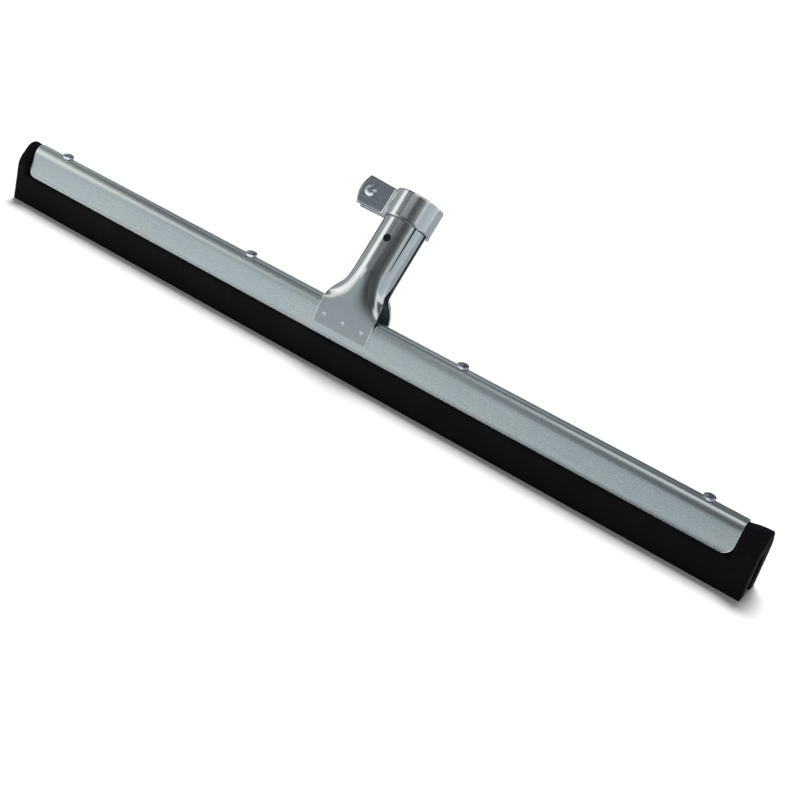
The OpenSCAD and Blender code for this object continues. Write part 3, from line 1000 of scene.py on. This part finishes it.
@dataclass
class Rivets:
    """The round-head rivets through the ridge."""

    count: int = 4
    pitch: float = 160.0
    head: float = 7.2
    head_height: float = 2.8
    rim: float = 1.7
    shank: float = 4.0
    shop_head: float = 6.0
    shop_height: float = 2.0
    shop_chamfer: float = 0.4
    strip_low: float = 23.5

    def build(self, shop: Workshop) -> None:
        """Makes each rivet."""
        crest = LAYOUT.ridge_z + LAYOUT.ridge_radius
        shank = self.shank / 2
        foot = self.shop_head / 2
        low = self.strip_low - self.shop_height
        for i in range(1, self.count + 1):
            profile = [(r, z + crest) for r, z in shop.dome(self.head, self.rim, self.head_height)]
            profile += [(shank, crest), (shank, self.strip_low), (foot, self.strip_low),
                        (foot, low + self.shop_chamfer), (foot - self.shop_chamfer, low), (0.0, low)]
            bm = shop.turned(profile)
            x = LAYOUT.channel_x + (i - (self.count + 1) / 2) * self.pitch
            bmesh.ops.translate(bm, verts=bm.verts, vec=LAYOUT.point(x, 0.0, 0.0))
            piece = shop.piece(f"rivet_{i}_formed", bm, RIVET_STEEL, Body.HEAD, [f"rivet_{i}"])
            shop.soften(piece, 0.0)


@dataclass
class SocketShell:
    """One pressed half-shell: half of the round socket, a flare and a plate on the channel."""

    facing: Facing
    name: str
    node: str
    plate_width: float
    plate_low: float
    plate_high: float
    pull: float
    haste: float
    weld_rise: float
    bore: float = 26.0
    sheet: float = 1.5
    reach: float = 82.0
    bend_start: float = 30.0
    spread_delay: float = 0.3
    seam_gap: float = 2.8
    weld_pitch: float = 14.0
    weld_places: Tuple[int, ...] = (-1, 0, 1)
    weld_ball: float = 20.0
    weld_depth: float = 0.07
    weld_tool: float = 2.6
    weld_tool_height: float = 1.0
    weld_steps: int = 10
    weld_sides: int = 48
    columns: int = 64
    tube_rows: int = 12
    flare_rows: int = 36
    plate_rows: int = 8
    flare_ease: float = 0.12
    edge: float = 0.55
    rim_turn: float = 0.3

    @property
    def outer(self) -> float:
        """The socket's outer radius."""
        return self.bore / 2 + self.sheet

    @property
    def finish(self) -> ZincFinish:
        """The shell's finish, with its row of weld marks."""
        return ZincFinish(self.name + "_finish", "socket_zinc", SHELL_COLOUR, SHELL_TINT,
                          roughness=0.15, stretch=ALONG_BORE, turn_degrees=LAYOUT.socket_tilt, bump=0.2,
                          weld_middle=tuple(self.weld_spot(0)), weld_pitch=self.weld_pitch)

    def tube_point(self, u: float, along: float) -> Vector:
        """A point of the round part: u goes from -1 to 1 across it, along is the distance up the bore."""
        angle = u * math.acos(self.seam_gap / 2 / self.outer)
        depth = -self.facing.value * self.outer * math.cos(angle)
        return LAYOUT.socket @ Vector((self.outer * math.sin(angle), depth, along))

    def flare_point(self, u: float, share: float) -> Vector:
        """A point of the flare: share goes from 0 at the round part to 1 at the plate."""
        start = self.tube_point(u, self.bend_start)
        finish = LAYOUT.side_point(self.facing, u * self.plate_width / 2, self.plate_high, self.sheet)
        tilt = math.radians(LAYOUT.socket_tilt)
        sine, cosine = LAYOUT.lean
        leave = Vector((0.0, math.sin(tilt), math.cos(tilt))) * -self.pull
        arrive = Vector((0.0, self.facing.value * sine, cosine)) * -self.pull
        two = share ** 2
        three = share ** 3
        curve = (start * (2 * three - 3 * two + 1) + leave * (three - 2 * two + share)
                 + finish * (3 * two - 2 * three) + arrive * (three - two))
        late = max(0.0, share - self.spread_delay) / (1 - self.spread_delay)
        eased = late ** 2 / (late + self.flare_ease) * (1 + self.flare_ease)
        across = mix(start.x, finish.x, 1 - (1 - eased) ** self.haste)
        return Vector((across, curve.y, curve.z))

    def place(self, column: int, row: int) -> Vector:
        """A point of the shell's outer face."""
        u = 2 * column / self.columns - 1
        if row <= self.tube_rows:
            return self.tube_point(u, mix(self.reach, self.bend_start, row / self.tube_rows))
        row -= self.tube_rows
        if row <= self.flare_rows:
            return self.flare_point(u, row / self.flare_rows)
        row -= self.flare_rows
        up = mix(self.plate_high, self.plate_low, row / self.plate_rows)
        return LAYOUT.side_point(self.facing, u * self.plate_width / 2, up, self.sheet)

    def weld_spot(self, place: int) -> Vector:
        """The middle of a weld spot on the plate's face: place is -1, 0 or 1 along the row."""
        up = self.plate_low + self.weld_rise
        return LAYOUT.side_point(self.facing, place * self.weld_pitch, up, self.sheet)

    def weld_dimple(self, place: int) -> bmesh.types.BMesh:
        """A round tool that presses one weld spot into the plate."""
        ball = self.weld_ball
        foot = [(r, ball - math.sqrt(ball * ball - r * r) - self.weld_depth)
                for r in evenly(0.0, self.weld_tool, self.weld_steps)]
        top = [(self.weld_tool, self.weld_tool_height), (0.0, self.weld_tool_height)]
        bm = Workshop.turned(foot + top, self.weld_sides)
        sine, cosine = LAYOUT.lean
        out = Vector((0.0, -self.facing.value * cosine, sine)).to_track_quat("Z", "Y").to_matrix().to_4x4()
        bmesh.ops.transform(bm, matrix=Matrix.Translation(self.weld_spot(place)) @ out, verts=bm.verts)
        return bm

    def on_seam(self, face: bpy.types.MeshPolygon) -> bool:
        """Whether a face is part of the sheet's edge along the socket's seam."""
        spot = LAYOUT.socket.inverted() @ (face.center / MM)
        across = LAYOUT.socket.to_3x3().inverted() @ face.normal
        return spot.z > self.bend_start and abs(across.y) > self.rim_turn and abs(spot.y) < self.seam_gap

    def on_rim(self, face: bpy.types.MeshPolygon) -> bool:
        """Whether a face is part of the plate's sheared side edges."""
        top = LAYOUT.side_point(self.facing, 0.0, self.plate_high, self.sheet).z
        return face.center.z < top * MM and abs(face.normal.x) > self.rim_turn

    def cutters(self) -> List[bmesh.types.BMesh]:
        """Solids that are cut through the shell."""
        return []

    def build(self, shop: Workshop) -> None:
        """Makes the shell."""
        rows = self.tube_rows + self.flare_rows + self.plate_rows
        bm = shop.surface(self.columns, rows, self.place)
        shop.face_towards(bm, LAYOUT.socket @ Vector((0.0, -FAR * self.facing.value, 0.0)))
        piece = shop.piece(self.name, bm, self.finish, Body.HEAD, [self.node])
        # The inner faces take this dark painted shade through the sheet's material offset
        piece.data.materials.append(shop.material(SOCKET_INSIDE_SHADE))
        shop.thicken(piece, self.sheet, -1.0)
        foot = LAYOUT.side_point(self.facing, 0.0, self.plate_low, self.sheet)
        shop.soften(piece, self.edge, above=foot.z + self.edge)
        # The seam's edge faces get the dark painted shade
        shop.refinish(piece, SOCKET_INSIDE_SHADE, self.on_seam)
        # The plate's side edges take the near-white painted highlight
        shop.refinish(piece, SHEARED_EDGE_HIGHLIGHT, self.on_rim)
        shop.cut(piece, [self.weld_dimple(place) for place in self.weld_places])
        # Cut walls, the front shell's slits and fixing hole, take the dark painted shade
        shop.cut(piece, self.cutters(), finish_index=1)
        shop.soften(piece, 0.0)


@dataclass
class FrontShell(SocketShell):
    """The front half-shell, with two slits and a fixing hole."""

    slit_width: float = 1.6
    slit_tip: float = 0.5
    slit_length: float = 48.0
    slit_angle: float = 46.0
    slit_turn: float = 2.5
    hole: float = 5.0
    hole_depth: float = 31.0
    hole_sides: int = 40

    def cutters(self) -> List[bmesh.types.BMesh]:
        """The slits and the fixing hole."""
        slits = [self.slit(self.slit_turn - self.slit_angle), self.slit(self.slit_turn + self.slit_angle)]
        return slits + [self.fixing_hole()]

    def slit(self, angle: float) -> bmesh.types.BMesh:
        """A wedge that opens towards the socket's mouth.

        Args:
            angle: Its place round the socket from the front, in degrees.

        Returns:
            The wedge in the frame.
        """
        bm = bmesh.new()
        bmesh.ops.create_cube(bm, size=1.0)
        for vert in bm.verts:
            at_mouth = vert.co.z > 0
            wide = self.slit_width if at_mouth else self.slit_tip
            along = self.reach + (self.sheet if at_mouth else -self.slit_length)
            vert.co = Vector((vert.co.x * wide, (vert.co.y - 1) * self.outer, along))
        turn = Matrix.Rotation(math.radians(angle), 4, "Z")
        bmesh.ops.transform(bm, matrix=LAYOUT.socket @ turn, verts=bm.verts)
        return bm

    def fixing_hole(self) -> bmesh.types.BMesh:
        """The round hole's solid in the frame."""
        bm = bmesh.new()
        bmesh.ops.create_cone(bm, cap_ends=True, segments=self.hole_sides, radius1=self.hole / 2,
                              radius2=self.hole / 2, depth=self.outer)
        place = Matrix.Translation((0.0, -self.outer, self.reach - self.hole_depth))
        turn = Matrix.Rotation(math.pi / 2, 4, "X")
        bmesh.ops.transform(bm, matrix=LAYOUT.socket @ place @ turn, verts=bm.verts)
        return bm


@dataclass
class ClampBand:
    """The strap round the socket's mouth, bent out into two ears."""

    inner: float = 14.55
    sheet: float = 1.8
    width: float = 17.0
    middle: float = 73.0
    top_lift: float = 1.4
    ear_reach: float = 36.6
    ear_bow: float = 3.0
    ear_gap: float = 4.8
    ear_spread: float = 1.2
    ear_bend: float = 3.0
    ear_columns: int = 10
    bend_columns: int = 8
    ring_columns: int = 40
    rows: int = 12
    edge: float = 0.35
    rim_turn: float = 0.3

    def half_path(self) -> List[Pair]:
        """The strap's middle line from the rear ear's end to its furthest point from the ears.

        Returns:
            Points in the plane across the bore.
        """
        radius = self.inner + self.sheet / 2
        ear_y = self.ear_gap / 2 + self.sheet / 2
        bend = self.ear_bend + self.sheet / 2
        centre_y = ear_y + bend
        centre_x = -math.sqrt((radius + bend) ** 2 - centre_y ** 2)
        last = math.atan2(-centre_y, -centre_x)
        straight = [(x, ear_y) for x in evenly(-self.ear_reach, centre_x, self.ear_columns)]
        turn = [(centre_x + bend * math.cos(a), centre_y + bend * math.sin(a))
                for a in evenly(-math.pi / 2, last, self.bend_columns)[1:]]
        ring = [(radius * math.cos(a), radius * math.sin(a))
                for a in evenly(math.pi + last, 0.0, self.ring_columns)[1:]]
        return straight + turn + ring

    def ear_share(self, x: float) -> float:
        """How far out on an ear a distance across the bore lies: 0 at its root, 1 at its end."""
        root = -self.inner - self.ear_bend
        return min(max((root - x) / (root + self.ear_reach), 0.0), 1.0)

    def build(self, shop: Workshop) -> None:
        """Makes the band."""
        half = self.half_path()
        path = half + [(x, -y) for x, y in reversed(half[:-1])]

        def place(column: int, row: int) -> Vector:
            """A point of the strap's middle surface."""
            x, y = path[column]
            share = self.ear_share(x)
            high = self.width / 2 + self.top_lift + self.ear_spread * share
            up = mix(-self.width / 2, high, row / self.rows)
            bow = self.ear_bow * (1 - (2 * row / self.rows - 1) ** 2)
            return LAYOUT.socket @ Vector((x - share * bow, y, self.middle + up))

        bm = shop.surface(len(path) - 1, self.rows, place)
        shop.face_towards(bm, LAYOUT.socket @ Vector((FAR, 0.0, self.middle)))
        piece = shop.piece("clamp_strap", bm, CLAMP_ZINC, Body.CLAMP, ["clamp_band"])
        shop.thicken(piece, self.sheet, 0.0)
        shop.soften(piece, self.edge)
        along = LAYOUT.socket.to_3x3() @ Vector((0.0, 0.0, 1.0))
        # Edge faces turned down the bore take the dark painted shade
        shop.refinish(piece, CLAMP_EDGE_SHADE, lambda face: face.normal.dot(along) < -self.rim_turn)


@dataclass
class ClampFasteners:
    """The cross-recessed screw through the ears, and its nut."""

    seat: Triple = (-31.5, -4.2, 74.7)
    thread: float = 4.0
    pitch: float = 0.7
    length: float = 20.0
    tip: float = 0.4
    thread_depth: float = 0.61
    thread_root: float = 0.42
    thread_crest: float = 0.06
    thread_sink: float = 0.1
    thread_margin: float = 0.7
    turn_steps: int = 24
    head: float = 7.6
    head_height: float = 2.8
    rim: float = 0.9
    recess_turns: Pair = (30.0, 120.0)
    recess_length: float = 4.6
    recess_width: float = 1.1
    recess_depth: float = 1.5
    recess_over: float = 0.4
    recess_top: float = 1.15
    recess_foot: float = 0.5
    nut_flats: float = 7.0
    nut_height: float = 3.2
    nut_inset: float = 0.1
    nut_drop: float = 0.42
    nut_over: float = 1.0
    ear_outer: float = 4.2
    clearance: float = 0.05
    screw_limit: float = 35.0
    nut_limit: float = 30.0

    @property
    def axes(self) -> Matrix:
        """The screw's axes in the frame: Z out of its head, from its seat on the front ear."""
        return LAYOUT.socket @ Matrix.Translation(self.seat) @ Matrix.Rotation(math.pi / 2, 4, "X")

    @property
    def core(self) -> float:
        """Radius at the root of the thread."""
        return self.thread / 2 - self.thread_depth * self.pitch

    def helix(self) -> bmesh.types.BMesh:
        """The thread's ridge, wound round the core."""
        turns = int((self.length - 2 * self.thread_margin) / self.pitch)
        root = self.core - self.thread_sink
        crest = self.thread / 2
        profile = [(root, -self.thread_root), (crest, -self.thread_crest), (crest, self.thread_crest),
                   (root, self.thread_root)]
        bm = bmesh.new()
        verts = [bm.verts.new((r, 0.0, h * self.pitch - self.thread_margin)) for r, h in profile]
        edges = [bm.edges.new(pair) for pair in zip(verts, verts[1:] + verts[:1])]
        bmesh.ops.spin(bm, geom=verts + edges, axis=(0, 0, 1), cent=(0, 0, 0), angle=turns * FULL_TURN,
                       steps=turns * self.turn_steps, dvec=(0, 0, -self.pitch / self.turn_steps))
        bmesh.ops.holes_fill(bm, edges=[e for e in bm.edges if e.is_boundary], sides=0)
        bmesh.ops.recalc_face_normals(bm, faces=bm.faces)
        bmesh.ops.transform(bm, matrix=self.axes, verts=bm.verts)
        return bm

    def recess(self, turn: float) -> bmesh.types.BMesh:
        """One bar of the cross, narrower at its foot.

        Args:
            turn: Its angle about the screw, in degrees.

        Returns:
            The bar in the frame.
        """
        bm = bmesh.new()
        bmesh.ops.create_cube(bm, size=1.0)
        for vert in bm.verts:
            at_top = vert.co.z > 0
            share = self.recess_top if at_top else self.recess_foot
            height = self.head_height + (self.recess_over if at_top else -self.recess_depth)
            long = self.recess_length * share
            wide = self.recess_width * share
            vert.co = Vector((vert.co.x * long, vert.co.y * wide, height))
        about = Matrix.Rotation(math.radians(turn), 4, "Z")
        bmesh.ops.transform(bm, matrix=self.axes @ about, verts=bm.verts)
        return bm

    def build_screw(self, shop: Workshop) -> None:
        """Makes the screw."""
        profile = shop.dome(self.head, self.rim, self.head_height)
        profile += [(self.core, 0.0), (self.core, self.tip - self.length),
                    (self.core - self.tip, -self.length), (0.0, -self.length)]
        bm = shop.turned(profile)
        bmesh.ops.transform(bm, matrix=self.axes, verts=bm.verts)
        piece = shop.piece("clamp_screw_turned", bm, FASTENER_ZINC, Body.SCREW, ["clamp_screw"])
        shop.cut(piece, [self.recess(turn) for turn in self.recess_turns])
        thread = shop.piece("clamp_screw_thread", self.helix(), FASTENER_ZINC, Body.SCREW, ["clamp_screw"])
        for made in (piece, thread):
            shop.soften(made, 0.0, limit=self.screw_limit)

    def build_nut(self, shop: Workshop) -> None:
        """Makes the nut."""
        high = self.nut_height
        corner = self.nut_flats / 2 / math.cos(math.pi / 6)
        seat = self.axes @ Matrix.Translation((0.0, 0.0, -2 * self.ear_outer - high))
        bm = bmesh.new()
        bmesh.ops.create_cone(bm, cap_ends=True, segments=6, radius1=corner, radius2=corner, depth=high)
        bmesh.ops.transform(bm, matrix=seat @ Matrix.Translation((0.0, 0.0, high / 2)), verts=bm.verts)
        piece = shop.piece("clamp_nut_hexagon", bm, FASTENER_ZINC, Body.NUT, ["clamp_nut"])
        flat = self.nut_flats / 2 - self.nut_inset
        bore = self.thread / 2 + self.clearance
        chamfer = [(0.0, high), (flat, high), (corner, high - self.nut_drop), (corner, self.nut_drop),
                   (flat, 0.0), (0.0, 0.0)]
        hole = [(0.0, high + self.nut_over), (bore, high + self.nut_over), (bore, -self.nut_over),
                (0.0, -self.nut_over)]
        for profile, operation in ((chamfer, "INTERSECT"), (hole, "DIFFERENCE")):
            tool = shop.turned(profile)
            bmesh.ops.transform(tool, matrix=seat, verts=tool.verts)
            shop.cut(piece, [tool], operation)
        shop.soften(piece, 0.0, limit=self.nut_limit)

    def build(self, shop: Workshop) -> None:
        """Makes the screw and the nut."""
        self.build_screw(shop)
        self.build_nut(shop)


@dataclass
class RetainingStrip:
    """The flat strip inside the blade, kept as its solid."""

    node: str = "retaining_strip"

    def build(self, shop: Workshop) -> None:
        """Dresses the strip."""
        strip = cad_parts[self.node]
        strip.data.materials.clear()
        strip.data.materials.append(shop.material(STRIP_STEEL))
        LOG.info("%s: dressed", self.node)


# Studio

DIM = (0.86, 0.95, 1.0)
WARM = (1.0, 1.0, 0.96)
COLD = (0.72, 0.95, 1.12)


@dataclass(frozen=True)
class Card:
    """A flat card that only reflections see: the dim and bright sides of the studio, in metres."""

    name: str
    middle: Triple
    facing: Aim
    wide: float
    tall: float
    spot: Triple
    fade: float
    at_spot: float
    beyond: float
    tone: Colour = DIM

    def build(self) -> None:
        """Makes the card, whose brightness goes from that of its spot to that beyond it."""
        bm = bmesh.new()
        bmesh.ops.create_grid(bm, x_segments=2, y_segments=2, size=0.5)
        bmesh.ops.scale(bm, vec=(self.wide, self.tall, 1.0), verts=bm.verts)
        turn = Vector(self.facing.value).to_track_quat("Z", "Y").to_matrix().to_4x4()
        bmesh.ops.transform(bm, matrix=Matrix.Translation(self.middle) @ turn, verts=bm.verts)
        card = put_mesh(self.name, bm)
        made, wires = blank(self.name + "_finish")
        place = wires.node("TexCoord").outputs["Object"]
        away = wires.vectors("DISTANCE", place, self.spot).outputs["Value"]
        strength = wires.spread(away, (0.0, self.fade), (self.at_spot, self.beyond))
        glow = wires.node("Emission", Color=opaque(self.tone), Strength=strength)
        wires.node("OutputMaterial", Surface=glow.outputs[0])
        card.data.materials.append(made)
        card.visible_camera = False
        card.visible_diffuse = False
        card.visible_shadow = False
        card.visible_transmission = False


CARDS = (
    Card("dark_front", (1.0, -1.65, 0.93), Aim.BACK, 4.4, 1.86, (0.25, -1.65, 1.45), 1.6, 0.05, 0.33),
    Card("dark_right", (1.75, -1.64, 1.3), Aim.BACK, 2.9, 1.12, (1.0, -1.64, 1.5), 1.6, 0.08, 0.16),
    Card("dark_left", (-1.35, -1.66, 1.98), Aim.BACK, 0.7, 0.95, (-1.7, -1.66, 1.98), 0.8, 0.10, 0.20, COLD),
    Card("mid_front", (-1.0, -1.6, 0.45), Aim.BACK, 2.6, 0.9, (0.10, -1.6, 0.80), 1.15, 0.05, 0.46),
    Card("mid_floor", (-0.8, -0.89, 0.003), Aim.UP, 3.0, 1.5, (-1.05, -0.95, 0.0), 0.9, 0.50, 1.0),
    Card("right_floor", (1.42, 0.75, 0.003), Aim.UP, 2.8, 1.7, (0.4, 0.2, 0.0), 1.5, 0.50, 0.72),
    Card("left_floor", (-0.9, 0.5, 0.003), Aim.UP, 1.6, 1.1, (-0.3, 0.2, 0.0), 1.2, 0.35, 0.55),
    Card("dim_back", (-0.6, 1.7, 1.0), Aim.FRONT, 4.4, 2.0, (-1.0, 1.7, 0.9), 0.75, 0.55, 0.17),
    Card("dim_above", (-0.6, 0.46, 2.0), Aim.DOWN, 4.4, 2.48, (-0.95, 0.8, 2.0), 1.0, 0.65, 0.14),
    Card("upper_mid", (-1.25, -1.13, 2.0), Aim.DOWN, 1.4, 0.72, (-1.6, -1.13, 2.0), 0.9, 0.10, 0.34),
    Card("left_top", (-1.72, -1.05, 1.63), Aim.RIGHT, 1.1, 0.44, (-1.72, -1.05, 1.63), 1.0, 0.12, 0.16),
    Card("upper_front", (-0.35, -1.67, 1.91), Aim.BACK, 1.4, 0.16, (-0.3, -1.67, 1.85), 0.9, 0.18, 0.26),
    Card("soft_right", (2.8, -0.2, 0.9), Aim.LEFT, 3.0, 1.8, (2.8, -0.8, 0.9), 2.2, 0.60, 0.75),
    Card("mid_left", (-1.8, 0.1, 0.9), Aim.RIGHT, 3.4, 1.8, (-1.8, 0.4, 0.6), 1.8, 0.42, 0.60),
    Card("bright_left", (-1.7, -0.95, 0.85), Aim.RIGHT, 1.3, 1.1, (-1.7, -0.85, 0.8), 0.7, 1.5, 1.0, WARM),
    Card("upper_left", (-2.25, -1.03, 1.95), Aim.DOWN, 1.3, 0.96, (-2.2, -0.95, 1.95), 1.5, 0.14, 0.2),
    Card("left_glow", (-1.9, -1.58, 0.72), Aim.BACK, 0.8, 0.56, (-2.0, -1.58, 0.75), 0.7, 1.0, 0.6, WARM),
    Card("upper_right", (1.75, -1.7, 2.15), Aim.BACK, 2.9, 0.9, (1.0, -1.7, 1.7), 1.7, 0.06, 0.24),
    Card("low_right", (0.95, -1.5, 0.15), Aim.BACK, 0.9, 0.28, (0.9, -1.5, 0.1), 0.5, 1.2, 0.9, WARM),
)


@dataclass
class Studio:
    """A pale floor, soft light and the camera."""

    floor_radius: float = 12.0
    floor_sides: int = 96
    floor_colour: Colour = (0.80, 0.80, 0.80)
    floor_fade: Pair = (0.055, 0.13)
    floor_stretch: Triple = (0.16, 1.0, 1.0)
    surround: float = 0.26
    sun_towards: Triple = (-0.20, 0.43, 1.0)
    sun_strength: float = 3.9
    sun_angle: float = 25.0
    lamp_place: Triple = (-1.3, -0.6, 0.9)
    lamp_size: float = 1.0
    lamp_power: float = 1.5
    camera_place: Triple = (0.377137, -0.699556, 0.388023)
    camera_turns: Triple = (0.458, 0.475, 0.284)
    camera_range: Pair = (0.01, 100.0)
    focal_px: float = 1412.14
    image_px: float = 800.0
    sensor_mm: float = 36.0

    def build(self) -> None:
        """Makes the floor, the world, the lights, the cards and the camera."""
        self.floor()
        self.world()
        sun = self.light("main_light", "SUN", self.sun_strength, self.sun_towards)
        sun.data.angle = math.radians(self.sun_angle)
        lamp = self.light("side_lamp", "AREA", self.lamp_power, self.lamp_place)
        lamp.data.size = self.lamp_size
        lamp.location = self.lamp_place
        for card in CARDS:
            card.build()
        self.camera()

    def floor(self) -> None:
        """A wide pale floor that keeps the object's shadow."""
        bm = bmesh.new()
        bmesh.ops.create_circle(bm, cap_ends=True, segments=self.floor_sides, radius=self.floor_radius)
        floor = put_mesh("studio_floor", bm)
        made, wires = blank("studio_floor_finish")
        place = wires.node("TexCoord").outputs["Object"]
        spot = wires.node("Mapping", Vector=place, Scale=self.floor_stretch).outputs[0]
        away = wires.vectors("LENGTH", spot).outputs["Value"]
        lift = wires.math("MULTIPLY", wires.seen(), wires.spread(away, self.floor_fade, (0.0, 1.0)))
        matt = wires.node("BsdfDiffuse", Color=opaque(self.floor_colour))
        glow = wires.node("Emission", Color=opaque(WHITE), Strength=lift)
        both = wires.node("AddShader")
        wires.feed(both.inputs[0], matt.outputs[0])
        wires.feed(both.inputs[1], glow.outputs[0])
        wires.node("OutputMaterial", Surface=both.outputs[0])
        floor.data.materials.append(made)

    def world(self) -> None:
        """A white surround for the camera and reflections, and softer light from all round."""
        world = bpy.data.worlds.new("studio_surround")
        world.use_nodes = True
        wires = Wiring(world.node_tree)
        strength = wires.spread(wires.seen(), (0.0, 1.0), (self.surround, 1.0))
        light = wires.node("Background", Color=opaque(WHITE), Strength=strength)
        wires.node("OutputWorld", Surface=light.outputs[0])
        bpy.context.scene.world = world

    @staticmethod
    def light(name: str, kind: str, energy: float, towards: Triple) -> bpy.types.Object:
        """Adds a light that reflections don't show.

        Args:
            name: The light's name.
            kind: SUN or AREA.
            energy: Its strength.
            towards: The direction from the object to the light.

        Returns:
            The light, pointing at the object.
        """
        data = bpy.data.lights.new(name, kind)
        data.energy = energy
        light = put(name, data)
        light.rotation_mode = "QUATERNION"
        light.rotation_quaternion = (-Vector(towards)).to_track_quat("-Z", "Y")
        light.visible_glossy = False
        return light

    def camera(self) -> None:
        """The camera at the photograph's viewing angle."""
        azimuth, elevation, roll = self.camera_turns
        data = bpy.data.cameras.new("studio_camera")
        data.sensor_fit = "HORIZONTAL"
        data.sensor_width = self.sensor_mm
        data.lens = self.focal_px / self.image_px * self.sensor_mm
        data.clip_start, data.clip_end = self.camera_range
        camera = put("studio_camera", data)
        turn = (Matrix.Rotation(azimuth, 4, "Z") @ Matrix.Rotation(math.pi / 2 - elevation, 4, "X")
                @ Matrix.Rotation(roll, 4, "Z"))
        camera.matrix_world = Matrix.Translation(self.camera_place) @ turn
        bpy.context.scene.camera = camera


def main() -> None:
    """Builds the studio and every sub-assembly."""
    logging.basicConfig(level=logging.INFO, format="%(name)s: %(message)s")
    bpy.context.scene.view_settings.view_transform = "Standard"
    Studio().build()
    shop = Workshop(SurfaceGroups())
    front = FrontShell(facing=Facing.FRONT, name="front_shell_pressing", node="front_socket_shell",
                       plate_width=39.5, plate_low=6.0, plate_high=19.0, pull=27.0, haste=2.5, weld_rise=5.7)
    rear = SocketShell(facing=Facing.REAR, name="rear_shell_pressing", node="rear_socket_shell",
                       plate_width=44.0, plate_low=1.0, plate_high=9.0, pull=19.0, haste=5.0, weld_rise=4.0)
    parts = (Channel(), RubberBlade(), RetainingStrip(), Rivets(), front, rear, ClampBand(),
             ClampFasteners())
    for part in parts:
        part.build(shop)
        LOG.info("%s: built", type(part).__name__)


if __name__ == "__main__":
    main()
